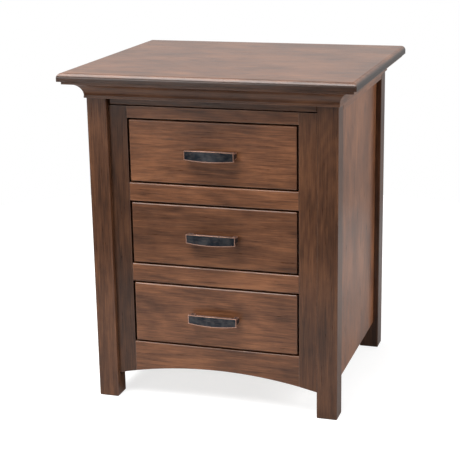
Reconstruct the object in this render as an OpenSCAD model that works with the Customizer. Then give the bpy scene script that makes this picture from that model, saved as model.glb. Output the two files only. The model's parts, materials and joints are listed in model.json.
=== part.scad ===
// Bedside cabinet: four square legs, three inset drawers, and a moulded top
// that slides forward over a shallow hidden compartment.
// Millimetres. +Z is up, the drawers face -Y, and the origin is on the floor
// under the middle of the top board.

/* [Overall] */
// Height of the top surface above the floor
height = 737; // [720:1:760]
// Width of the top board
top_w = 640; // [630:1:660]
// Depth of the top board, front to back
top_d = 550; // [545:1:570]
// Width over the outer faces of the legs
case_w = 548; // [540:1:552]
// Depth over the outer faces of the legs
case_d = 498; // [490:1:500]
// How far the top board stands out in front of the legs
front_overhang = 48; // [46:1:50]

/* [Top] */
// Thickness of the top board
top_t = 18; // [16:0.5:24]
// Radius worked on the upper front and side edges of the top board
top_round = 10; // [6:0.5:12]
// Running clearance between the rim of the case and the top board
top_gap = 1; // [0.5:0.1:2]
// Height of the moulding under the top board
mould_h = 39.5; // [36:0.5:42]
// How far the moulding's upper fillet stands out from the legs
mould_out = 39; // [36:1:42]
// Thickness of the moulding's upper fillet
fillet_t = 6.5; // [5:0.5:8]
// How far the cove reaches out under the fillet
cove_out = 22; // [20:1:26]
// Radius of the cove
cove_r = 28; // [26:0.5:28]
// How far the moulding's lower lip stands out from the legs
lip_out = 4; // [3.5:0.1:5]
// Height of the moulding's lower lip
lip_h = 4.5; // [3:0.5:6]
// Clearance between the moulding and the legs it slides past
mould_gap = 1; // [0.5:0.1:1.5]
// Thickness of the cleats under the top board that carry its runners
cleat_t = 19; // [16:1:22]
// Height of the cleats
cleat_h = 39; // [34:1:40]
// Length of the cleats
cleat_len = 400; // [380:5:410]

/* [Case] */
// Side of the square legs
leg = 45; // [44:0.5:48]
// Thickness of the side panels
panel_t = 19; // [18:0.5:20]
// Depth of the side panels behind the legs, filled at the rim by the side bands
panel_set = 12; // [8:1:19]
// Height above the floor of the side and back panels' lower edge
panel_foot = 64; // [60:1:80]
// Height of the rim round the compartment
rim_h = 53; // [48:1:54]
// Depth of the compartment below the rim, down to its lining
well_h = 54; // [52:1:58]
// Thickness of the compartment floor and of the bottom board
floor_t = 12; // [10:1:14]
// Thickness of the lining on the compartment floor
felt_t = 2; // [1:0.5:3]
// Thickness of the rail behind the compartment
back_rail_t = 22; // [18:1:24]
// Height of the rail behind the compartment
back_rail_h = 76; // [70:1:90]
// Thickness of the back panel
back_t = 6; // [4:0.5:8]
// Depth of the grooves that hold the side panels in the legs
tongue = 8; // [5:1:10]
// Thickness of the tongues in those grooves
tongue_t = 7; // [5:0.5:9]
// Height of the bottom board's top face
bottom_z = 120; // [114:1:124]

/* [Face frame] */
// How far the face frame stands behind the front faces of the legs
frame_set = 12; // [8:1:16]
// Thickness of the face frame and of the drawer fronts
frame_t = 19; // [18:0.5:22]
// Width of the stiles
stile_w = 41; // [38:0.5:44]
// Height of the top edge of the face frame
frame_top = 663; // [660:0.5:663.5]
// Height of the top edge of the upper drawer opening
open_top = 637.5; // [636:0.5:640]
// Height of each drawer opening
open_h = 141.5; // [138:0.5:142]
// Height of the rails between the drawers
rail_h = 40; // [36:0.5:41]
// Height of the arched rail's ends above the floor
arch_end = 54; // [48:1:58]
// Rise of the arch under the bottom rail
arch_rise = 27; // [15:1:35]

/* [Drawers] */
// Number of drawers
drawers = 3; // [3:1:3]
// Gap round each drawer front
front_gap = 4; // [2:0.5:5]
// Thickness of the drawer box sides, front and back
side_t = 12; // [11:0.5:14]
// Height of the drawer boxes
box_h = 110; // [100:1:116]
// Height of the drawer box above the opening's lower edge
box_lift = 12; // [10:1:15]
// Length of the drawer boxes, front to back
box_d = 400; // [380:5:420]
// Thickness of the drawer bottoms
bottom_t = 6; // [4:0.5:8]
// Height of the drawer bottom above the box's lower edge
bottom_up = 10; // [8:1:14]
// Depth of the grooves for the drawer bottom
groove = 6; // [4:0.5:7]
// Number of dovetails at each corner of a drawer box
tails = 4; // [3:1:5]
// Width of a dovetail at its wide end
tail_wide = 19; // [16:0.5:20]
// Width of a dovetail at its shoulder
tail_narrow = 13; // [10:0.5:15]

/* [Runners] */
// Space that a runner fills between case and drawer
runner_t = 12.7; // [12.7:0.1:13]
// Sheet thickness of the runner members
sheet_t = 1.2; // [1:0.1:1.5]
// Height of a drawer runner
drawer_runner_h = 45; // [45:1:48]
// Length of a drawer runner
drawer_runner_len = 400; // [380:5:400]
// Height of a top runner
top_runner_h = 35; // [35:1:37]
// Length of a top runner
top_runner_len = 350; // [330:5:370]
// Height of the wood packers that carry the drawer runners
packer_h = 60; // [50:1:70]

/* [Pulls] */
// Length of the pull
pull_w = 109; // [100:1:120]
// Height of the pull's face at its ends
pull_end_h = 19; // [16:0.5:20]
// Height of the pull's face in the middle
pull_mid_h = 23.5; // [22:0.5:26]
// How far the pull stands out from the drawer front
pull_out = 28; // [26:1:32]
// Thickness of the pull's bar
pull_t = 6; // [5:0.5:7]
// Bow of the pull's bar away from the drawer
pull_bow = 6; // [4:0.5:8]
// Width of the pull's end posts
post_w = 10; // [8:0.5:12]
// Height of the pull's end posts
post_h = 13; // [10:0.5:15]

/* [Hidden] */
$fn = 96;
fine = 1440;

STAIN = [0.33, 0.20, 0.13];
STAIN_DARK = [0.27, 0.16, 0.11];
MAPLE = [0.76, 0.62, 0.44];
STEEL = [0.62, 0.63, 0.65];
BLACK = [0.08, 0.08, 0.09];
BRONZE = [0.20, 0.19, 0.20];

case_x = case_w / 2;
case_front = front_overhang - top_d / 2;
case_back = case_front + case_d;
leg_in = case_x - leg;
panel_out = case_x - panel_set;
panel_in = panel_out - panel_t;
panel_front = case_front + leg;
panel_back = case_back - leg;
frame_front = case_front + frame_set;
frame_back = frame_front + frame_t;
under_top = height - top_t;
rim_top = under_top - top_gap;
rim_low = rim_top - rim_h;
felt_top = rim_top - well_h;
floor_top = felt_top - felt_t;
floor_low = floor_top - floor_t;
rail_back = case_back - back_t;
rail_front = rail_back - back_rail_t;
open_x = leg_in - stile_w;
open_low = [for (i = [0:drawers - 1]) open_top - open_h - i * (open_h + rail_h)];
box_x = open_x - runner_t;
box_back_y = frame_back + box_d;
cleat_x = leg_in - runner_t;
runner_y = frame_back + 2;
top_runner_y = frame_back + 6;
top_runner_z = under_top - cleat_h / 2 - 2;
arch_r = (pow(leg_in, 2) + pow(arch_rise, 2)) / (2 * arch_rise);
bow_r = (pow(pull_w / 2, 2) + pow(pull_bow, 2)) / (2 * pull_bow);
face_rise = (pull_mid_h - pull_end_h) / 2;
face_r = (pow(pull_w / 2, 2) + pow(face_rise, 2)) / (2 * face_rise);
mitre = 60;
side_gap = 2.5;
felt_gap = 0.5;
outer_reach = 9.5;
middle_start = 3.2;
middle_reach = 10.8;
inner_start = 5.5;
member_step = 5.5;

// A board between two opposite corners.
module board(low, high) {
  translate(low)
    cube(high - low);
}

// Draws its child on the right, or mirrored on the left.
module on_side(right) {
  mirror([right ? 0 : 1, 0, 0])
    children();
}

// A straight length along Y of an outline drawn in X and Z.
module along_y(y0, y1) {
  translate([0, y1, 0])
    rotate([90, 0, 0])
      linear_extrude(height = y1 - y0)
        children();
}

// A straight length along X of an outline drawn in Y and Z.
module along_x(x0, x1) {
  translate([x0, 0, 0])
    rotate([90, 0, 90])
      linear_extrude(height = x1 - x0)
        children();
}

// ---- Case ----

// The panel with the tongues that enter the legs.
module side_panel_shape() {
  tongue_x = (panel_in + panel_out - tongue_t) / 2;
  board([panel_in, panel_front, panel_foot], [panel_out, panel_back, rim_top]);
  board([tongue_x, panel_front - tongue, panel_foot],
        [tongue_x + tongue_t, panel_back + tongue, rim_top]);
}

// A leg from the floor to the rim, grooved for the side panel.
module leg_shape(y0) {
  difference() {
    board([leg_in, y0, 0], [case_x, y0 + leg, rim_top]);
    side_panel_shape();
  }
}

module side_band_shape() {
  board([panel_out, panel_front, rim_low], [case_x, panel_back, rim_top]);
}

// Brings the runner out flush with the legs.
module filler_shape() {
  board([leg_in, panel_front, floor_top], [panel_in, panel_back, rim_top]);
}

// A board that fills the case between the side panels, notched round the legs.
module notched_board(z, back) {
  translate([0, 0, z])
    linear_extrude(height = floor_t)
      polygon([
        [-leg_in, frame_back], [leg_in, frame_back],
        [leg_in, panel_front], [panel_in, panel_front],
        [panel_in, panel_back], [leg_in, panel_back],
        [leg_in, back], [-leg_in, back],
        [-leg_in, panel_back], [-panel_in, panel_back],
        [-panel_in, panel_front], [-leg_in, panel_front]
      ]);
}

module leg_front_left() {
  color(STAIN)
    on_side(false)
      leg_shape(case_front);
}

module leg_front_right() {
  color(STAIN)
    leg_shape(case_front);
}

module leg_rear_left() {
  color(STAIN)
    on_side(false)
      leg_shape(panel_back);
}

module leg_rear_right() {
  color(STAIN)
    leg_shape(panel_back);
}

module side_panel_left() {
  color(STAIN)
    on_side(false)
      side_panel_shape();
}

module side_panel_right() {
  color(STAIN)
    side_panel_shape();
}

module side_band_left() {
  color(STAIN)
    on_side(false)
      side_band_shape();
}

module side_band_right() {
  color(STAIN)
    side_band_shape();
}

module filler_left() {
  color(STAIN_DARK)
    on_side(false)
      filler_shape();
}

module filler_right() {
  color(STAIN_DARK)
    filler_shape();
}

module back_rail() {
  color(STAIN)
    board([-leg_in, rail_front, rim_top - back_rail_h], [leg_in, rail_back, rim_top]);
}

module back_panel() {
  color(STAIN_DARK)
    board([-leg_in, rail_back, panel_foot], [leg_in, case_back, rim_top]);
}

module compartment_floor() {
  color(STAIN_DARK)
    notched_board(floor_low, rail_front);
}

module compartment_felt() {
  color(BLACK)
    board([felt_gap - leg_in, frame_back, floor_top],
          [leg_in - felt_gap, rail_front - felt_gap, felt_top]);
}

module bottom_board() {
  color(MAPLE)
    notched_board(bottom_z - floor_t, rail_back);
}

// The arch along the lower edge of the face frame, as an outline seen from the front.
module arch() {
  translate([0, arch_end + arch_rise - arch_r])
    circle(r = arch_r, $fn = fine);
}

module stile_shape() {
  along_y(frame_front, frame_back)
    difference() {
      translate([open_x, arch_end])
        square([stile_w, frame_top - arch_end]);
      arch();
    }
}

module stile_left() {
  color(STAIN)
    on_side(false)
      stile_shape();
}

module stile_right() {
  color(STAIN)
    stile_shape();
}

module rail(z0, z1) {
  board([-open_x, frame_front, z0], [open_x, frame_back, z1]);
}

module top_rail() {
  color(STAIN)
    rail(open_top, frame_top);
}

module mid_rail_upper() {
  color(STAIN)
    rail(open_low[0] - rail_h, open_low[0]);
}

module mid_rail_lower() {
  color(STAIN)
    rail(open_low[1] - rail_h, open_low[1]);
}

// The bottom rail runs from leg to leg, and its lower edge is one arc.
module bottom_rail() {
  color(STAIN)
    along_y(frame_front, frame_back)
      difference() {
        translate([-open_x, arch_end])
          square([2 * open_x, open_low[drawers - 1] - arch_end]);
        arch();
      }
}

// ---- Runners ----

// Outlines of the three members, from the case side at 0 towards the drawer.
module outer_outline(h) {
  polygon([
    [0, -h / 2], [outer_reach, -h / 2],
    [outer_reach, sheet_t - h / 2], [sheet_t, sheet_t - h / 2],
    [sheet_t, h / 2 - sheet_t], [outer_reach, h / 2 - sheet_t],
    [outer_reach, h / 2], [0, h / 2]
  ]);
}

module middle_outline(h) {
  half = h / 2 - member_step;
  polygon([
    [middle_start, -half], [middle_reach, -half],
    [middle_reach, sheet_t - half], [middle_start + sheet_t, sheet_t - half],
    [middle_start + sheet_t, half - sheet_t], [middle_reach, half - sheet_t],
    [middle_reach, half], [middle_start, half]
  ]);
}

module inner_outline(h) {
  half = h / 2 - 2 * member_step;
  polygon([
    [inner_start, -half], [runner_t, -half],
    [runner_t, half], [inner_start, half],
    [inner_start, half - sheet_t], [runner_t - sheet_t, half - sheet_t],
    [runner_t - sheet_t, sheet_t - half], [inner_start, sheet_t - half]
  ]);
}

// One member on each side, fixed at the wall x, with its middle at height z.
module member_pair(wall, z, y0, len) {
  for (right = [true, false])
    on_side(right)
      along_y(y0, y0 + len)
        translate([wall, z])
          mirror([1, 0])
            children();
}

function runner_z(i) = open_low[i] + box_lift + box_h / 2;

// The wood packers between the side panels and the drawer runners.
module runner_packers() {
  color(MAPLE)
    for (i = [0:drawers - 1], right = [true, false])
      on_side(right)
        board([open_x, frame_back, runner_z(i) - packer_h / 2],
              [leg_in, rail_back, runner_z(i) + packer_h / 2]);
}

module drawer_runner_outer() {
  color(STEEL)
    for (i = [0:drawers - 1])
      member_pair(open_x, runner_z(i), runner_y, drawer_runner_len)
        outer_outline(drawer_runner_h);
}

module drawer_runner_middle(i) {
  color(STEEL)
    member_pair(open_x, runner_z(i), runner_y, drawer_runner_len)
      middle_outline(drawer_runner_h);
}

module drawer_runner_inner(i) {
  color(STEEL)
    member_pair(open_x, runner_z(i), runner_y, drawer_runner_len)
      inner_outline(drawer_runner_h);
}

module top_runner_outer() {
  color(BLACK)
    member_pair(leg_in, top_runner_z, top_runner_y, top_runner_len)
      outer_outline(top_runner_h);
}

module top_runner_middle() {
  color(BLACK)
    member_pair(leg_in, top_runner_z, top_runner_y, top_runner_len)
      middle_outline(top_runner_h);
}

module top_runner_inner() {
  color(BLACK)
    member_pair(leg_in, top_runner_z, top_runner_y, top_runner_len)
      inner_outline(top_runner_h);
}

// ---- Sliding top ----

// What a round-over takes off a square corner at the origin.
module round_over(r) {
  difference() {
    square(r);
    circle(r = r);
  }
}

module top_board() {
  color(STAIN)
    intersection() {
      along_y(-top_d / 2, top_d / 2)
        difference() {
          translate([-top_w / 2, under_top])
            square([top_w, top_t]);
          for (side = [0, 1])
            mirror([side, 0])
              translate([top_w / 2 - top_round, height - top_round])
                round_over(top_round);
        }
      along_x(-top_w / 2, top_w / 2)
        difference() {
          translate([-top_d / 2, under_top])
            square([top_d, top_t]);
          translate([top_round - top_d / 2, height - top_round])
            mirror([1, 0])
              round_over(top_round);
        }
    }
}

// Outline of the moulding, measured outward from the face of the legs.
module mould_outline() {
  foot = under_top - mould_h;
  cove_low = foot + lip_h;
  cove_high = under_top - fillet_t;
  difference() {
    polygon([
      [mould_gap, foot], [lip_out, foot],
      [lip_out, cove_low], [cove_out, cove_low],
      [cove_out, cove_high], [mould_out, cove_high],
      [mould_out, under_top], [mould_gap, under_top]
    ]);
    intersection() {
      translate([lip_out - mould_gap / 2 + cove_r, cove_low])
        circle(r = cove_r);
      translate([0, cove_low])
        square(2 * cove_r);
    }
  }
}

// The side moulding, mitred at the front corner.
module mould_side_shape() {
  intersection() {
    along_y(case_front - mitre, case_back)
      translate([case_x, 0])
        mould_outline();
    linear_extrude(height = height)
      polygon([
        [case_x, case_front], [case_x + mitre, case_front - mitre],
        [case_x + mitre, case_back], [case_x, case_back]
      ]);
  }
}

module mould_left() {
  color(STAIN)
    on_side(false)
      mould_side_shape();
}

module mould_right() {
  color(STAIN)
    mould_side_shape();
}

module mould_front() {
  color(STAIN)
    intersection() {
      translate([0, case_front, 0])
        along_x(-case_x - mitre, case_x + mitre)
          mirror([1, 0])
            mould_outline();
      linear_extrude(height = height)
        polygon([
          [-case_x, case_front], [case_x, case_front],
          [case_x + mitre, case_front - mitre], [-case_x - mitre, case_front - mitre]
        ]);
    }
}

// The band between the front legs that closes the compartment's front.
module front_band() {
  color(STAIN)
    board([side_gap - leg_in, frame_front, rim_low], [leg_in - side_gap, frame_back, under_top]);
}

module top_cleats() {
  color(MAPLE)
    for (right = [true, false])
      on_side(right)
        board([cleat_x - cleat_t, frame_back, under_top - cleat_h],
              [cleat_x, frame_back + cleat_len, under_top]);
}

// ---- Drawers ----

module drawer_front(i) {
  color(STAIN)
    board([front_gap - open_x, frame_front, open_low[i] + front_gap],
          [open_x - front_gap, frame_back, open_low[i] + open_h - front_gap]);
}

module drawer_bottom_shape(i) {
  z = open_low[i] + box_lift + bottom_up;
  reach = side_t - groove;
  board([reach - box_x, frame_back + reach, z], [box_x - reach, box_back_y - reach, z + bottom_t]);
}

function tail_z(i, k) = open_low[i] + box_lift + box_h / tails * (k + 0.5);

// One end of a side: dovetails in Y and Z, wide at the end face, in the order given.
function tail_points(i, end_y, shoulder_y, order, way) = [
  for (k = order) each [
    [shoulder_y, tail_z(i, k) - way * tail_narrow / 2],
    [end_y, tail_z(i, k) - way * tail_wide / 2],
    [end_y, tail_z(i, k) + way * tail_wide / 2],
    [shoulder_y, tail_z(i, k) + way * tail_narrow / 2]
  ]
];

// A drawer side seen from the side, with dovetails at both ends.
module drawer_side_outline(i) {
  z = open_low[i] + box_lift;
  front_y = frame_back + side_t;
  back_y = box_back_y - side_t;
  polygon(concat(
    [[front_y, z], [back_y, z]],
    tail_points(i, box_back_y, back_y, [0:tails - 1], 1),
    [[back_y, z + box_h], [front_y, z + box_h]],
    tail_points(i, frame_back, front_y, [tails - 1:-1:0], -1)
  ));
}

module drawer_side_shape(i) {
  difference() {
    along_x(box_x - side_t, box_x)
      drawer_side_outline(i);
    drawer_bottom_shape(i);
  }
}

// The front or back of a drawer box, cut for the sides' dovetails.
module drawer_end_shape(i, y0) {
  z = open_low[i] + box_lift;
  difference() {
    board([-box_x, y0, z], [box_x, y0 + side_t, z + box_h]);
    for (right = [true, false])
      on_side(right)
        along_x(box_x - side_t, box_x)
          drawer_side_outline(i);
    drawer_bottom_shape(i);
  }
}

module drawer_side(i, right) {
  color(MAPLE)
    on_side(right)
      drawer_side_shape(i);
}

module drawer_box_front(i) {
  color(MAPLE)
    drawer_end_shape(i, frame_back);
}

module drawer_box_back(i) {
  color(MAPLE)
    drawer_end_shape(i, box_back_y - side_t);
}

module drawer_bottom(i) {
  color(MAPLE)
    drawer_bottom_shape(i);
}

// The bar's outline from above, bowed away from the drawer.
module pull_plan() {
  intersection() {
    translate([0, bow_r - pull_out])
      difference() {
        circle(r = bow_r, $fn = fine);
        circle(r = bow_r - pull_t, $fn = fine);
      }
    translate([-pull_w / 2, -pull_out])
      square([pull_w, pull_out]);
  }
}

// The bar's outline from the front, deepest in the middle.
module pull_face() {
  intersection() {
    translate([0, face_r - pull_mid_h / 2])
      circle(r = face_r, $fn = fine);
    translate([0, pull_mid_h / 2 - face_r])
      circle(r = face_r, $fn = fine);
    square([pull_w, pull_mid_h], center = true);
  }
}

module drawer_pull(i) {
  color(BRONZE)
    translate([0, frame_front, open_low[i] + open_h / 2]) {
      intersection() {
        translate([0, 0, -pull_mid_h])
          linear_extrude(height = 2 * pull_mid_h)
            pull_plan();
        along_y(-2 * pull_out, 0)
          pull_face();
      }
      for (right = [true, false])
        on_side(right)
          board([pull_w / 2 - post_w, pull_bow + pull_t / 2 - pull_out, -post_h / 2],
                [pull_w / 2, 0, post_h / 2]);
    }
}

// ---- Output ----

leg_front_left();
leg_front_right();
leg_rear_left();
leg_rear_right();
side_panel_left();
side_panel_right();
side_band_left();
side_band_right();
filler_left();
filler_right();
back_rail();
back_panel();
compartment_floor();
compartment_felt();
bottom_board();
stile_left();
stile_right();
top_rail();
mid_rail_upper();
mid_rail_lower();
bottom_rail();
runner_packers();
drawer_runner_outer();
top_runner_outer();
top_board();
mould_front();
mould_left();
mould_right();
front_band();
top_cleats();
top_runner_inner();
top_runner_middle();
drawer_front(0);  // drawer_1_front
drawer_side(0, false);  // drawer_1_side_left
drawer_side(0, true);  // drawer_1_side_right
drawer_box_front(0);  // drawer_1_box_front
drawer_box_back(0);  // drawer_1_box_back
drawer_bottom(0);  // drawer_1_bottom
drawer_pull(0);  // drawer_1_pull
drawer_runner_inner(0);  // drawer_1_runner_inner
drawer_runner_middle(0);  // drawer_1_runner_middle
drawer_front(1);  // drawer_2_front
drawer_side(1, false);  // drawer_2_side_left
drawer_side(1, true);  // drawer_2_side_right
drawer_box_front(1);  // drawer_2_box_front
drawer_box_back(1);  // drawer_2_box_back
drawer_bottom(1);  // drawer_2_bottom
drawer_pull(1);  // drawer_2_pull
drawer_runner_inner(1);  // drawer_2_runner_inner
drawer_runner_middle(1);  // drawer_2_runner_middle
drawer_front(2);  // drawer_3_front
drawer_side(2, false);  // drawer_3_side_left
drawer_side(2, true);  // drawer_3_side_right
drawer_box_front(2);  // drawer_3_box_front
drawer_box_back(2);  // drawer_3_box_back
drawer_bottom(2);  // drawer_3_bottom
drawer_pull(2);  // drawer_3_pull
drawer_runner_inner(2);  // drawer_3_runner_inner
drawer_runner_middle(2);  // drawer_3_runner_middle
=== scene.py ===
import json
import math

import bmesh
import bpy
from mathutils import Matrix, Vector


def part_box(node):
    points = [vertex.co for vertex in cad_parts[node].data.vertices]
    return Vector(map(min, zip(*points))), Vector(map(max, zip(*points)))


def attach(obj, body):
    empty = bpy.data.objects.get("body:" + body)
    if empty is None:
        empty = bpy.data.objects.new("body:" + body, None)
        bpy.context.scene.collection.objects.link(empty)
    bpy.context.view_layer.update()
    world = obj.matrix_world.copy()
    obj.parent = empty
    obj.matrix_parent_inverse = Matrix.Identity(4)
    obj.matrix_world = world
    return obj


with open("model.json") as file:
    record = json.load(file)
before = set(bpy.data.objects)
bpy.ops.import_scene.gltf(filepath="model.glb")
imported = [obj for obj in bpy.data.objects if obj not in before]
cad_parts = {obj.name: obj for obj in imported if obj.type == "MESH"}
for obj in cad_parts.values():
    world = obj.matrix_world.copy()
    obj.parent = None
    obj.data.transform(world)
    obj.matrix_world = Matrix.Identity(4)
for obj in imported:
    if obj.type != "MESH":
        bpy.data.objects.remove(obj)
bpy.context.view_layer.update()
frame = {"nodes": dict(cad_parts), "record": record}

NODES = frame["nodes"]
AXES = {"x": 0, "y": 1, "z": 2}


# ---- Shader helpers ----

def new_material(name):
    """An empty node material, its tree and its Principled shader."""
    material = bpy.data.materials.new(name)
    material.use_nodes = True
    tree = material.node_tree
    tree.nodes.clear()
    shader = tree.nodes.new("ShaderNodeBsdfPrincipled")
    output = tree.nodes.new("ShaderNodeOutputMaterial")
    tree.links.new(shader.outputs["BSDF"], output.inputs["Surface"])
    return material, tree, shader


def fill(tree, node, inputs):
    """Sets or links a node's inputs, given by name or by number."""
    for key, value in inputs.items():
        if isinstance(value, bpy.types.NodeSocket):
            tree.links.new(value, node.inputs[key])
        else:
            node.inputs[key].default_value = value


def math_node(tree, operation, *values, clamp=False):
    node = tree.nodes.new("ShaderNodeMath")
    node.operation = operation
    node.use_clamp = clamp
    fill(tree, node, dict(enumerate(values)))
    return node.outputs[0]


def vector_node(tree, operation, *values, output="Vector"):
    node = tree.nodes.new("ShaderNodeVectorMath")
    node.operation = operation
    fill(tree, node, dict(enumerate(values)))
    return node.outputs[output]


def noise(tree, place, scale, detail=2.0, roughness=0.5):
    node = tree.nodes.new("ShaderNodeTexNoise")
    fill(tree, node, {"Vector": place, "Scale": scale, "Detail": detail, "Roughness": roughness})
    return node.outputs["Fac"]


def ramp(tree, value, stops):
    """A colour ramp, where each stop is a place and an RGB colour or a grey."""
    node = tree.nodes.new("ShaderNodeValToRGB")
    elements = node.color_ramp.elements
    while len(elements) < len(stops):
        elements.new(0.5)
    for element, (place, colour) in zip(elements, stops):
        rgb = colour if isinstance(colour, tuple) else (colour,) * 3
        element.position = place
        element.color = (*rgb, 1.0)
    fill(tree, node, {"Fac": value})
    return node.outputs["Color"]


def mix(tree, factor, first, second, blend="MIX"):
    node = tree.nodes.new("ShaderNodeMix")
    node.data_type = "RGBA"
    node.blend_type = blend
    colours = [c if isinstance(c, bpy.types.NodeSocket) else (*c, 1.0) for c in (first, second)]
    fill(tree, node, {0: factor, 6: colours[0], 7: colours[1]})
    return node.outputs[2]


def bump(tree, height, distance):
    node = tree.nodes.new("ShaderNodeBump")
    fill(tree, node, {"Height": height, "Distance": distance})
    return node.outputs["Normal"]


# How far the textures move from one piece's number to the next, so that no boards share their grain.
PIECE_STEP = (1.37, 2.11, 0.83)


def own_place(tree):
    """The piece's own coordinates, moved by its number."""
    coordinates = tree.nodes.new("ShaderNodeTexCoord").outputs["Object"]
    number = tree.nodes.new("ShaderNodeObjectInfo").outputs["Object Index"]
    step = vector_node(tree, "SCALE", PIECE_STEP)
    tree.links.new(number, step.node.inputs["Scale"])
    return vector_node(tree, "ADD", coordinates, step)


def edges(tree, radius, low, high):
    """1 within the radius of the piece's sharp edges, and 0 away from them.

    The rise runs from low to high in 1 less the cosine between the rounded normal and the true one."""
    bevel = tree.nodes.new("ShaderNodeBevel")
    bevel.samples = 6
    fill(tree, bevel, {"Radius": radius})
    normal = tree.nodes.new("ShaderNodeNewGeometry").outputs["Normal"]
    facing = vector_node(tree, "DOT_PRODUCT", bevel.outputs["Normal"], normal, output="Value")
    turned = math_node(tree, "SUBTRACT", 1.0, facing)
    return ramp(tree, turned, [(low, 0.0), (high, 1.0)])


# ---- Materials ----

# Colours of the finishes. The lists go from the darkest tone to the lightest.
STAIN_TONES = [(0.062, 0.024, 0.011), (0.158, 0.062, 0.028), (0.285, 0.116, 0.051)]
# The stain's edge colour is rubbed wear and also a painted highlight along the eased edges.
STAIN_RUB_AND_HIGHLIGHT = (0.30, 0.175, 0.125)
INNER_TONES = [(0.050, 0.021, 0.011), (0.095, 0.040, 0.021), (0.150, 0.070, 0.040)]
MAPLE_TONES = [(0.46, 0.30, 0.16), (0.62, 0.44, 0.26), (0.74, 0.57, 0.38)]
MAPLE_WORN = (0.70, 0.54, 0.36)
PLY_TONES = [(0.42, 0.27, 0.14), (0.58, 0.41, 0.24), (0.68, 0.51, 0.33)]
PLY_WORN = (0.62, 0.46, 0.29)
ZINC = (0.62, 0.64, 0.67)
ZINC_STREAK = (0.45, 0.46, 0.49)
BLACK = (0.030, 0.031, 0.034)
BLACK_STREAK = (0.016, 0.016, 0.018)

# How the rings' axis leans, in degrees, where the three tones lie on the ramp, and how strongly each
# part of the grain shows.
RING_TILT = (2.2, -3.1, 1.7)
TONE_STOPS = (0.31, 0.50, 0.69)
STREAK_WEIGHT = 0.45
BAND_WEIGHT = 0.18
FIBRE_WEIGHT = 0.42
FLECK_WEIGHT = 0.30
END_WEIGHT = 0.7
END_DARKNESS = 0.45
# How far the edges lighten: partly rubbed wear, partly a painted highlight.
RUB_AND_HIGHLIGHT = 0.75


def stretch(tree, place, along, amount):
    """The place with its coordinate along the grain scaled, which draws a texture out that way."""
    scale = [1.0, 1.0, 1.0]
    scale[along] = amount
    return vector_node(tree, "MULTIPLY", place, tuple(scale))


def growth_rings(tree, place, along):
    """Rings round an axis beside the board, tilted a little so that they run out in arches."""
    tilt = tree.nodes.new("ShaderNodeMapping")
    turn = [math.radians(angle) for angle in RING_TILT]
    turn[along] = 0.0
    sway = math_node(tree, "MULTIPLY", noise(tree, stretch(tree, place, along, 0.25), 7.0), 0.12)
    swayed = vector_node(tree, "ADD", place, sway)
    fill(tree, tilt, {"Vector": swayed, "Rotation": tuple(turn)})
    ring = tree.nodes.new("ShaderNodeTexWave")
    ring.wave_type = "RINGS"
    ring.rings_direction = "XYZ"[along]
    fill(tree, ring, {"Vector": tilt.outputs["Vector"], "Scale": 24.0, "Distortion": 0.8,
                      "Detail": 2.0, "Detail Scale": 1.5})
    return ring.outputs["Fac"]


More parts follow.
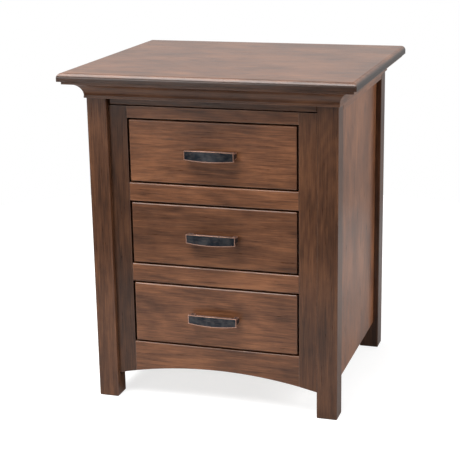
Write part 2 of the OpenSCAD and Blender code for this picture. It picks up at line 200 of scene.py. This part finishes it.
def wood(name, grain, tones, worn, roughness, coat, rings=0.07, blotch=0.66, edge_shade=1.0):
    """Finished wood with its grain along one axis; tones go from the darkest to the lightest.

    rings and blotch are the strengths of the growth rings and of the uneven stain. The last argument is
    painted shade: how dark the board's upright edges are against its flat face, for less light falling on
    them, and it weakens the rubbed edges and their painted highlight in the same measure. worn is the
    colour of the rubbed edges, which also paints part of their highlight."""
    material, tree, shader = new_material(name)
    along = AXES[grain]
    place = own_place(tree)

    streaks = noise(tree, stretch(tree, place, along, 0.05), 260.0, detail=4.0, roughness=0.70)
    bands = noise(tree, stretch(tree, place, along, 0.14), 36.0, detail=3.0, roughness=0.55)
    fibres = noise(tree, stretch(tree, place, along, 0.025), 750.0, detail=2.0, roughness=0.6)
    clouds = noise(tree, stretch(tree, place, along, 0.55), 12.0, detail=7.0, roughness=0.62)
    fleck_noise = noise(tree, stretch(tree, place, along, 0.06), 620.0, detail=1.0)
    flecks = ramp(tree, fleck_noise, [(0.60, 0.0), (0.72, 1.0)])

    ring = growth_rings(tree, place, along)
    tone = math_node(tree, "MULTIPLY_ADD", ring, rings, 0.5 - rings / 2)
    for part, weight in ((streaks, STREAK_WEIGHT), (bands, BAND_WEIGHT), (clouds, blotch),
                         (fibres, FIBRE_WEIGHT)):
        tone = math_node(tree, "MULTIPLY_ADD", math_node(tree, "SUBTRACT", part, 0.5), weight, tone)
    colour = ramp(tree, tone, list(zip(TONE_STOPS, tones)))
    colour = mix(tree, math_node(tree, "MULTIPLY", flecks, FLECK_WEIGHT), colour, tones[0])

    # End grain drinks more stain. Rubbed edges lose a little of it, and their lighter colour also paints
    # part of the highlight lines along the eased edges.
    own_normal = tree.nodes.new("ShaderNodeTexCoord").outputs["Normal"]
    split = tree.nodes.new("ShaderNodeSeparateXYZ")
    fill(tree, split, {0: own_normal})
    end = ramp(tree, math_node(tree, "ABSOLUTE", split.outputs[along]), [(0.75, 0.0), (0.95, 1.0)])
    dots = noise(tree, place, 900.0, detail=1.0)
    end_colour = mix(tree, dots, tuple(END_DARKNESS * c for c in tones[0]), tones[0])
    colour = mix(tree, math_node(tree, "MULTIPLY", end, END_WEIGHT), colour, end_colour)
    rubbed = math_node(tree, "MULTIPLY", edges(tree, 0.0028, 0.004, 0.10), RUB_AND_HIGHLIGHT * edge_shade)
    colour = mix(tree, rubbed, colour, worn)

    # Each board has a lightness set on the object: its own tone, and on some boards painted shade.
    board = tree.nodes.new("ShaderNodeObjectInfo").outputs["Color"]
    colour = mix(tree, 1.0, colour, board, blend="MULTIPLY")
    # Painted shade: the board's upright faces are darker than its flat face, for less light falling on
    # them.
    if edge_shade < 1.0:
        upright = ramp(tree, split.outputs["Z"], [(0.25, edge_shade), (0.85, 1.0)])
        colour = mix(tree, 1.0, colour, upright, blend="MULTIPLY")

    relief = math_node(tree, "SUBTRACT", math_node(tree, "MULTIPLY", fibres, 0.5), flecks)
    gloss = math_node(tree, "MULTIPLY_ADD", streaks, 0.16, roughness - 0.08)
    fill(tree, shader, {"Base Color": colour, "Roughness": gloss,
                        "Normal": bump(tree, relief, 0.00005),
                        "Specular IOR Level": 0.36,
                        "Coat Weight": coat, "Coat Roughness": 0.16})
    return material


def plywood(name):
    """Pale rotary-cut veneer with broad soft waves."""
    return wood(name, "x", PLY_TONES, PLY_WORN, 0.5, 0.1, rings=0.20, blotch=0.3)


def bronze(name):
    """Dark patina on a casting, rubbed back to copper along its edges."""
    material, tree, shader = new_material(name)
    place = own_place(tree)
    scale = vector_node(tree, "MULTIPLY", place, (0.12, 1.0, 1.0))
    streaks = noise(tree, scale, 520.0, detail=3.0, roughness=0.6)
    clouds = noise(tree, place, 60.0, detail=3.0)
    patina = ramp(tree, clouds, [(0.35, (0.020, 0.026, 0.034)), (0.62, (0.060, 0.062, 0.068))])
    worn = math_node(tree, "MULTIPLY_ADD", math_node(tree, "SUBTRACT", streaks, 0.5), 0.3,
                     edges(tree, 0.0030, 0.002, 0.03), clamp=True)
    colour = mix(tree, worn, patina, (0.78, 0.46, 0.34))
    gloss = math_node(tree, "MULTIPLY_ADD", streaks, 0.25, 0.24)
    fill(tree, shader, {"Base Color": colour, "Roughness": gloss, "Metallic": 0.9,
                        "Normal": bump(tree, streaks, 0.00008)})
    return material


def metal(name, colour, streak_colour, roughness, metallic):
    """Drawn sheet metal with fine lines along Y, the way that the runners slide."""
    material, tree, shader = new_material(name)
    place = own_place(tree)
    lines = noise(tree, vector_node(tree, "MULTIPLY", place, (1.0, 0.02, 1.0)), 1500.0, detail=2.0)
    smears = noise(tree, vector_node(tree, "MULTIPLY", place, (1.0, 0.2, 1.0)), 45.0, detail=3.0)
    shade = math_node(tree, "MULTIPLY_ADD", lines, 0.5, math_node(tree, "MULTIPLY", smears, 0.5))
    tint = ramp(tree, shade, [(0.35, streak_colour), (0.62, colour)])
    gloss = math_node(tree, "MULTIPLY_ADD", smears, 0.2, roughness - 0.1)
    fill(tree, shader, {"Base Color": tint, "Roughness": gloss, "Metallic": metallic,
                        "Normal": bump(tree, lines, 0.00002)})
    return material


def felt(name):
    """Short matted fibres with a soft sheen."""
    material, tree, shader = new_material(name)
    place = own_place(tree)
    fuzz = noise(tree, place, 1400.0, detail=3.0, roughness=0.7)
    nap = noise(tree, place, 18.0, detail=3.0)
    colour = ramp(tree, fuzz, [(0.3, (0.006, 0.006, 0.007)), (0.7, (0.035, 0.034, 0.036))])
    colour = mix(tree, math_node(tree, "MULTIPLY", nap, 0.3), colour, (0.05, 0.048, 0.05))
    fill(tree, shader, {"Base Color": colour, "Roughness": 0.95, "Sheen Weight": 0.35,
                        "Sheen Roughness": 0.5, "Normal": bump(tree, fuzz, 0.0006)})
    return material


def stains():
    """The three kinds of solid wood, with the grain along each axis."""
    made = {}
    for grain in AXES:
        made["stained_wood", grain] = wood(f"stained_{grain}", grain, STAIN_TONES, STAIN_RUB_AND_HIGHLIGHT,
                                           0.30, 0.10)
        made["stained_inner", grain] = wood(f"inner_{grain}", grain, INNER_TONES, STAIN_RUB_AND_HIGHLIGHT,
                                            0.5, 0.1)
        made["drawer_wood", grain] = wood(f"maple_{grain}", grain, MAPLE_TONES, MAPLE_WORN,
                                          0.42, 0.3, rings=0.30, blotch=0.15)
    return made


def fixed_looks():
    """Materials that stay the same whichever way a piece lies."""
    made = {
        "plywood": plywood("plywood"),
        "felt": felt("felt"),
        "bronze": bronze("bronze"),
        "runner_zinc": metal("zinc", ZINC, ZINC_STREAK, 0.34, 1.0),
        "runner_black": metal("black_steel", BLACK, BLACK_STREAK, 0.40, 0.3),
    }
    return {(slot, axis): material for slot, material in made.items() for axis in AXES}


MATERIALS = {**stains(), **fixed_looks()}
# The top's material paints shade on its upright edges.
TOP_MATERIAL = wood("stained_top", "x", STAIN_TONES, STAIN_RUB_AND_HIGHLIGHT, 0.30, 0.10, edge_shade=0.30)


# ---- CAD nodes ----

def longest_axis(node):
    low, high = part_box(node)
    size = high - low
    return max(AXES, key=lambda name: size[AXES[name]])


# How light each board is against its material: partly each board's own tone, partly painted shade, where
# the left stile, the rear right leg and the front band under the overhang are set darker for the shade
# that falls there. A node that isn't named stays at 1.
BOARD_TONE_AND_SHADE = {
    "top_board": 0.62, "mould_front": 0.66, "mould_left": 0.55, "mould_right": 0.75,
    "front_band": 0.50, "top_rail": 0.72, "leg_front_left": 0.50, "leg_front_right": 0.39,
    "leg_rear_right": 0.36, "stile_left": 0.31, "stile_right": 0.48, "drawer_1_front": 0.77,
    "drawer_2_front": 0.66, "drawer_3_front": 0.80, "mid_rail_upper": 0.85,
    "mid_rail_lower": 0.80, "bottom_rail": 0.72,
}
# The grain's axis of the nodes where it isn't left to the longest side.
GRAIN = {
    "side_panel_left": "z", "side_panel_right": "z", "back_panel": "z",
    "compartment_floor": "x", "bottom_board": "x",
    "runner_packers": "y", "top_cleats": "y",
}
# How wide the rounding of the edges is, in metres: by node, or else by material slot.
EASE = {"top_board": 0.0008, "bottom_board": 0.0006, "compartment_floor": 0.0006,
        "stile_left": 0.0004, "stile_right": 0.0004, "top_rail": 0.0004,
        "mid_rail_upper": 0.0017, "mid_rail_lower": 0.0017, "bottom_rail": 0.0010}
SLOT_EASE = {"stained_wood": 0.0020, "stained_inner": 0.0008, "drawer_wood": 0.0007,
             "plywood": 0.0003, "felt": 0.0004, "bronze": 0.0012,
             "runner_zinc": 0.0002, "runner_black": 0.0002}
EASE_SEGMENTS = 3
WELD_DISTANCE = 0.00001
FLAT_ANGLE = math.radians(0.3)
EASED_ANGLE = math.radians(32)


def ease_edges(piece, width):
    """Joins the CAD mesh's split faces, then rounds every sharp edge a little."""
    weld = piece.modifiers.new("Weld", "WELD")
    weld.merge_threshold = WELD_DISTANCE
    flat = piece.modifiers.new("Flat", "DECIMATE")
    flat.decimate_type = "DISSOLVE"
    flat.angle_limit = FLAT_ANGLE
    bevel = piece.modifiers.new("Ease", "BEVEL")
    bevel.width = width
    bevel.segments = EASE_SEGMENTS
    bevel.limit_method = "ANGLE"
    bevel.angle_limit = EASED_ANGLE
    bevel.harden_normals = True
    smooth = piece.modifiers.new("Normals", "WEIGHTED_NORMAL")
    smooth.keep_sharp = True


def dress_nodes():
    """Gives every CAD node its material, its number, its tone and its rounded edges."""
    slots = {part["node"]: part["material_slot"] for part in frame["record"]["subparts"]}
    for index, (name, piece) in enumerate(sorted(NODES.items())):
        slot = slots[name]
        grain = GRAIN.get(name) or longest_axis(name)
        piece.data.materials.clear()
        material = TOP_MATERIAL if name == "top_board" else MATERIALS[slot, grain]
        piece.data.materials.append(material)
        piece.pass_index = index + 1
        tone = BOARD_TONE_AND_SHADE.get(name, 1.0)
        piece.color = (tone, tone, tone, 1.0)
        ease_edges(piece, EASE.get(name, SLOT_EASE[slot]))


dress_nodes()


# ---- Fittings that ride on the bodies ----

# Sizes in metres. Each head is a screw head's radius and height. The dome and the recess are rings,
# as shares of the two.
RUNNER_HEAD = (0.0034, 0.0012)
PULL_HEAD = (0.0046, 0.0019)
FRONT_HEAD = (0.0040, 0.0016)
CLEAT_HEAD = (0.0042, 0.0016)
BACK_HEAD = (0.0042, 0.0014)
HEAD_SINK = 0.0001
HEAD_DOME = [(1.0, 0.35), (0.94, 0.62), (0.78, 0.88)]
HEAD_RECESS = [(0.56, 1.0), (0.34, 0.30)]
RECESS_WAIST = 0.34
CROSS_STEPS = 32
SMOOTH_ANGLE = math.radians(35)

# The runners: the sheet's thickness, the middle member's gap to the wall, the depth of a runner, the
# height of a race, and how far the ball rows stand from the wall and from the middle member's ends.
SHEET = 0.0012
RUNNER_GAP = 0.0032
RUNNER_DEPTH = 0.0127
RACE = 0.0043
OUTER_ROW = 0.0064
INNER_ROW = 0.0082
ROW_MARGIN = 0.03

# The balls and their cage, a strip whose edges are rounded by a share of its thinnest side.
BALL_RADIUS = 0.0021
BALL_COUNT = 14
BALL_PITCH = 0.0088
CAGE_HALF_WIDTH = 0.0026
CAGE_HALF_HEIGHT = 0.0003
BLOCK_EASE = 0.35

# Where screws stand along the runners, measured from an end.
SCREW_MARGIN = 0.035
SECOND_SCREW = 0.16
REAR_SCREW = 0.06
SIDES = ((-1, "left"), (1, "right"))

# The plates across the rear ends of the top's runners.
TAB_WIDTH = 0.0105
TAB_FOOT = 0.011
TAB_HALF_HEIGHT = 0.010
TAB_GAP = 0.0002

# Where screws stand on the drawers, the cleats and the back panel.
POST_INSET = 0.005
FRONT_SCREW_X = 0.125
FRONT_SCREW_Z = 0.03
CLEAT_SCREW_INSET = 0.0095
CLEAT_SHARES = (0.08, 0.36, 0.64, 0.92)
BACK_MARGIN = 0.014
BACK_SHARES = (0, 0.25, 0.5, 0.75, 1)
BACK_SCREW_X = 0.107


def node_level(node):
    """The height of a node's middle."""
    low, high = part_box(node)
    return (low.z + high.z) / 2


def settle_order(mesh):
    """Puts the faces in the order of their corners, because a bevel orders them anew on each run."""
    mesh.verts.index_update()
    ordered = sorted(mesh.faces, key=lambda face: sorted(vert.index for vert in face.verts))
    for index, face in enumerate(ordered):
        face.index = index
    mesh.faces.sort()


def new_piece(name, mesh, slot, body):
    """Turns a bmesh into a piece with its slot's material, riding on a body."""
    bmesh.ops.recalc_face_normals(mesh, faces=mesh.faces)
    for face in mesh.faces:
        face.smooth = True
    for edge in mesh.edges:
        edge.smooth = edge.calc_face_angle(0.0) < SMOOTH_ANGLE
    settle_order(mesh)
    data = bpy.data.meshes.new(name)
    mesh.to_mesh(data)
    mesh.free()
    data.materials.append(MATERIALS[slot, "x"])
    piece = bpy.data.objects.new(name, data)
    bpy.context.scene.collection.objects.link(piece)
    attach(piece, body)


def add_screw(mesh, place, outward, radius, height, turn):
    """A pan head with a cross recess, sunk a hair into the surface that it stands on."""
    outward = Vector(outward)
    side = Vector((0, 0, 1)) if abs(outward.z) < 0.5 else Vector((1, 0, 0))
    other = outward.cross(side)

    def ring(scale, level, cross=False):
        points = []
        for step in range(CROSS_STEPS):
            angle = 2 * math.pi * step / CROSS_STEPS
            arm = (step + 1) % (CROSS_STEPS // 4) <= 2
            reach = radius * scale * (1.0 if arm or not cross else RECESS_WAIST)
            spoke = side * math.cos(angle + turn) + other * math.sin(angle + turn)
            points.append(mesh.verts.new(Vector(place) + spoke * reach + outward * level))
        return points

    rings = [ring(1.0, -HEAD_SINK)]
    rings += [ring(scale, share * height) for scale, share in HEAD_DOME]
    rings += [ring(scale, share * height, cross=True) for scale, share in HEAD_RECESS]
    for lower, upper in zip(rings, rings[1:]):
        for step in range(CROSS_STEPS):
            after = (step + 1) % CROSS_STEPS
            mesh.faces.new((lower[step], lower[after], upper[after], upper[step]))
    mesh.faces.new(reversed(rings[0]))
    mesh.faces.new(rings[-1])


def screws(name, slot, body, places, outward, head):
    """One piece of identical screw heads, each turned a little further than the last."""
    mesh = bmesh.new()
    for index, place in enumerate(places):
        add_screw(mesh, place, outward, *head, turn=0.7 * index)
    new_piece(name, mesh, slot, body)


def add_block(mesh, low, high):
    """A strip between two corners, with its edges rounded off."""
    low, high = Vector(low), Vector(high)
    made = bmesh.ops.create_cube(mesh, size=1.0)["verts"]
    middle, size = (low + high) / 2, high - low
    for vert in made:
        vert.co = middle + Vector(c * s for c, s in zip(vert.co, size))
    # A dictionary drops the repeats and keeps the order.
    block_edges = dict.fromkeys(edge for vert in made for edge in vert.link_edges)
    bmesh.ops.bevel(mesh, geom=list(block_edges), offset=min(size) * BLOCK_EASE, segments=2,
                    affect="EDGES")


def add_ball_row(mesh, x, z, start):
    """Balls in a row along Y, held in a thin strip."""
    for step in range(BALL_COUNT):
        ball = bmesh.ops.create_icosphere(mesh, subdivisions=2, radius=BALL_RADIUS)["verts"]
        bmesh.ops.translate(mesh, verts=ball, vec=(x, start + BALL_PITCH * (step + 0.5), z))
    end = start + BALL_PITCH * BALL_COUNT
    add_block(mesh, (x - CAGE_HALF_WIDTH, start, z - CAGE_HALF_HEIGHT),
              (x + CAGE_HALF_WIDTH, end, z + CAGE_HALF_HEIGHT))


def dress_runner(middle_node, middle_body, inner_body):
    """Ball rows on the middle members, and screws on the inner ones."""
    low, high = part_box(middle_node)
    wall = high.x + RUNNER_GAP
    level = node_level(middle_node)
    half = (high.z - low.z) / 2
    mesh = bmesh.new()
    for side, _ in SIDES:
        for up in (-1, 1):
            add_ball_row(mesh, side * (wall - OUTER_ROW), level + up * (half + RACE / 2),
                         high.y - ROW_MARGIN - BALL_COUNT * BALL_PITCH)
            add_ball_row(mesh, side * (wall - INNER_ROW), level + up * (half - SHEET - RACE / 2),
                         low.y + ROW_MARGIN)
    new_piece(f"{middle_body}_balls", mesh, "runner_zinc", middle_body)
    web = wall - RUNNER_DEPTH + SHEET
    along = (low.y + SCREW_MARGIN, low.y + SECOND_SCREW, high.y - REAR_SCREW)
    for side, word in SIDES:
        places = [(side * web, y, level) for y in along]
        screws(f"{inner_body}_runner_screws_{word}", "runner_zinc", inner_body, places,
               (side, 0, 0), RUNNER_HEAD)


def dress_outer_runner(node, levels):
    """Screws that hold the outer members to the case."""
    low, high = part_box(node)
    face = high.x - SHEET
    along = (low.y + SCREW_MARGIN, (low.y + high.y) / 2, high.y - SCREW_MARGIN)
    for side, word in SIDES:
        places = [(side * face, y, level) for level in levels for y in along]
        screws(f"{node}_screws_{word}", "runner_zinc", "carcass", places, (-side, 0, 0),
               RUNNER_HEAD)


def dress_drawer(index):
    """A drawer's runners, and the screws inside it that hold its pull and its front."""
    body = f"drawer_{index}"
    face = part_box(f"{body}_box_front")[1].y
    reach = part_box(f"{body}_pull")[1].x - POST_INSET
    level = node_level(f"{body}_pull")
    screws(f"{body}_pull_screws", "runner_zinc", body,
           [(x, face, level) for x in (-reach, reach)], (0, 1, 0), PULL_HEAD)
    screws(f"{body}_front_screws", "runner_black", body,
           [(x, face, level + up) for x in (-FRONT_SCREW_X, FRONT_SCREW_X)
            for up in (-FRONT_SCREW_Z, FRONT_SCREW_Z)], (0, 1, 0), FRONT_HEAD)
    dress_runner(f"{body}_runner_middle", f"{body}_runner", body)


def add_end_tab(mesh, side, wall, y, level):
    """A bent plate across a runner's rear end, with a foot along the wall."""
    outline = [(0.0, 0.0), (TAB_WIDTH, 0.0), (TAB_WIDTH, SHEET), (SHEET, SHEET),
               (SHEET, TAB_FOOT), (0.0, TAB_FOOT)]
    loops = []
    for z in (level - TAB_HALF_HEIGHT, level + TAB_HALF_HEIGHT):
        loops.append([mesh.verts.new((side * (wall - x), y + along, z)) for x, along in outline])
    count = len(outline)
    for step in range(count):
        after = (step + 1) % count
        mesh.faces.new((loops[0][step], loops[0][after], loops[1][after], loops[1][step]))
    mesh.faces.new(reversed(loops[0]))
    mesh.faces.new(loops[1])


def end_tabs():
    """The plates behind both of the top's runners."""
    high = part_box("top_runner_outer")[1]
    mesh = bmesh.new()
    for side, _ in SIDES:
        add_end_tab(mesh, side, high.x, high.y + TAB_GAP, node_level("top_runner_outer"))
    new_piece("top_runner_end_tabs", mesh, "runner_zinc", "carcass")


def cleat_screws():
    """Screws that hold the cleats to the top, seen from below."""
    low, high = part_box("top_cleats")
    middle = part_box("top_runner_inner")[0].x + CLEAT_SCREW_INSET
    places = [(side * abs(middle), low.y + share * (high.y - low.y), low.z)
              for side, _ in SIDES for share in CLEAT_SHARES]
    screws("top_cleat_screws", "runner_black", "top", places, (0, 0, -1), CLEAT_HEAD)


def back_screws():
    """Screws round the edge of the back panel."""
    low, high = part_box("back_panel")
    tall = high.z - low.z - 2 * BACK_MARGIN
    rows = [low.z + BACK_MARGIN + share * tall for share in BACK_SHARES]
    columns = (low.x + BACK_MARGIN, high.x - BACK_MARGIN)
    places = [(x, high.y, z) for z in rows for x in columns]
    places += [(x, high.y, z) for z in (rows[0], rows[-1])
               for x in (-BACK_SCREW_X, 0.0, BACK_SCREW_X)]
    screws("back_panel_screws", "runner_black", "carcass", places, (0, 1, 0), BACK_HEAD)


def dress_fittings():
    drawers = (1, 2, 3)
    for index in drawers:
        dress_drawer(index)
    dress_runner("top_runner_middle", "top_runner", "top")
    dress_outer_runner("drawer_runner_outer",
                       [node_level(f"drawer_{index}_runner_middle") for index in drawers])
    dress_outer_runner("top_runner_outer", [node_level("top_runner_middle")])
    end_tabs()
    cleat_screws()
    back_screws()


dress_fittings()


# ---- Studio ----

# The camera's azimuth, elevation and roll in degrees, its place and its lens, fitted to the photograph.
CAMERA_ANGLES = (17.62, 15.714, -1.006)
CAMERA_PLACE = (0.8305, -2.7119, 1.1421)
CAMERA_LENS = 100.48

# Each light's place, its size in metres and its power in watts. All of them face one point.
LIGHTS = {
    "Key": ((-0.55, -1.30, 2.50), (1.8, 1.5), 101.0),
    "Overhead": ((-0.9, 0.0, 2.9), (1.1, 1.3), 34.0),
    "Front": ((-1.2, -3.2, 1.0), (1.0, 1.0), 30.0),
    "Side": ((3.0, -0.6, 1.4), (1.0, 1.0), 80.0),
}
LIT_POINT = (0.0, 0.0, 0.4)

# The world's light on the cabinet rises towards the rear, starts from a least value in front, and
# fades from above the horizon to below it, where the stops are heights from 0 to 1.
WORLD_SLOPE = 0.39
WORLD_LEVEL = 0.35
WORLD_LEAST = 0.15
WORLD_FADE = [(0.38, 0.45), (0.58, 1.0)]

FLOOR_RADIUS = 1.45
FLOOR_PLACE = (-0.2, 0.3, 0.0)
FLOOR_GREYS = (0.40, 0.43)
FLOOR_GLOW = 0.72


def make_camera():
    """The camera stands where the photograph's perspective puts it."""
    azimuth, elevation, roll = (math.radians(a) for a in CAMERA_ANGLES)
    back = Vector((math.sin(azimuth) * math.cos(elevation),
                   -math.cos(azimuth) * math.cos(elevation), math.sin(elevation)))
    right = (-back).cross(Vector((0, 0, 1))).normalized()
    up = right.cross(-back)
    x_axis = right * math.cos(roll) + up * math.sin(roll)
    y_axis = -right * math.sin(roll) + up * math.cos(roll)
    data = bpy.data.cameras.new("Camera")
    data.lens = CAMERA_LENS
    camera = bpy.data.objects.new("Camera", data)
    rotation = camera.matrix_world.to_3x3()
    for column, axis in enumerate((x_axis, y_axis, back)):
        rotation.col[column] = axis
    camera.matrix_world = rotation.to_4x4()
    camera.location = CAMERA_PLACE
    bpy.context.scene.collection.objects.link(camera)
    bpy.context.scene.camera = camera


def area_light(name, place, size, power):
    """A rectangular light that faces the lit point and isn't seen itself."""
    data = bpy.data.lights.new(name, "AREA")
    data.shape = "RECTANGLE"
    data.size, data.size_y = size
    data.energy = power
    light = bpy.data.objects.new(name, data)
    light.location = place
    light.rotation_euler = (Vector(LIT_POINT) - Vector(place)).to_track_quat("-Z", "Y").to_euler()
    light.visible_camera = False
    bpy.context.scene.collection.objects.link(light)


def make_studio():
    """A world that is white to the camera and dimmer to the cabinet, and the lights."""
    scene = bpy.context.scene
    scene.view_settings.view_transform = "Standard"
    scene.view_settings.look = "None"
    world = bpy.data.worlds.new("Studio")
    world.use_nodes = True
    tree = world.node_tree
    tree.nodes.clear()
    seen = tree.nodes.new("ShaderNodeLightPath").outputs["Is Camera Ray"]
    background = tree.nodes.new("ShaderNodeBackground")
    output = tree.nodes.new("ShaderNodeOutputWorld")
    split = tree.nodes.new("ShaderNodeSeparateXYZ")
    fill(tree, split, {0: tree.nodes.new("ShaderNodeTexCoord").outputs["Generated"]})
    rear = math_node(tree, "MULTIPLY_ADD", split.outputs["Y"], WORLD_SLOPE, WORLD_LEVEL)
    rear = math_node(tree, "MAXIMUM", rear, WORLD_LEAST)
    above = ramp(tree, math_node(tree, "MULTIPLY_ADD", split.outputs["Z"], 0.5, 0.5),
                 WORLD_FADE)
    strength = math_node(tree, "MAXIMUM", math_node(tree, "MULTIPLY", rear, above), seen)
    fill(tree, background, {"Color": (1.0, 1.0, 1.0, 1.0), "Strength": strength})
    tree.links.new(background.outputs[0], output.inputs["Surface"])
    scene.world = world

    for name, (place, size, power) in LIGHTS.items():
        area_light(name, place, size, power)


def make_floor():
    """A plain pale disc with a glow that only the camera sees, so that it casts none on the wood."""
    mesh = bmesh.new()
    bmesh.ops.create_circle(mesh, cap_ends=True, segments=96, radius=FLOOR_RADIUS)
    data = bpy.data.meshes.new("Floor")
    mesh.to_mesh(data)
    mesh.free()
    floor = bpy.data.objects.new("Floor", data)
    floor.location = FLOOR_PLACE
    bpy.context.scene.collection.objects.link(floor)
    material, tree, shader = new_material("floor")
    grain = noise(tree, tree.nodes.new("ShaderNodeTexCoord").outputs["Object"], 3.0, detail=2.0)
    colour = ramp(tree, grain, list(zip((0.3, 0.7), FLOOR_GREYS)))
    seen = tree.nodes.new("ShaderNodeLightPath").outputs["Is Camera Ray"]
    glow = math_node(tree, "MULTIPLY", seen, FLOOR_GLOW)
    fill(tree, shader, {"Base Color": colour, "Roughness": 0.9, "Specular IOR Level": 0.2,
                        "Emission Color": (1.0, 1.0, 1.0, 1.0), "Emission Strength": glow})
    data.materials.append(material)


make_camera()
make_studio()
make_floor()
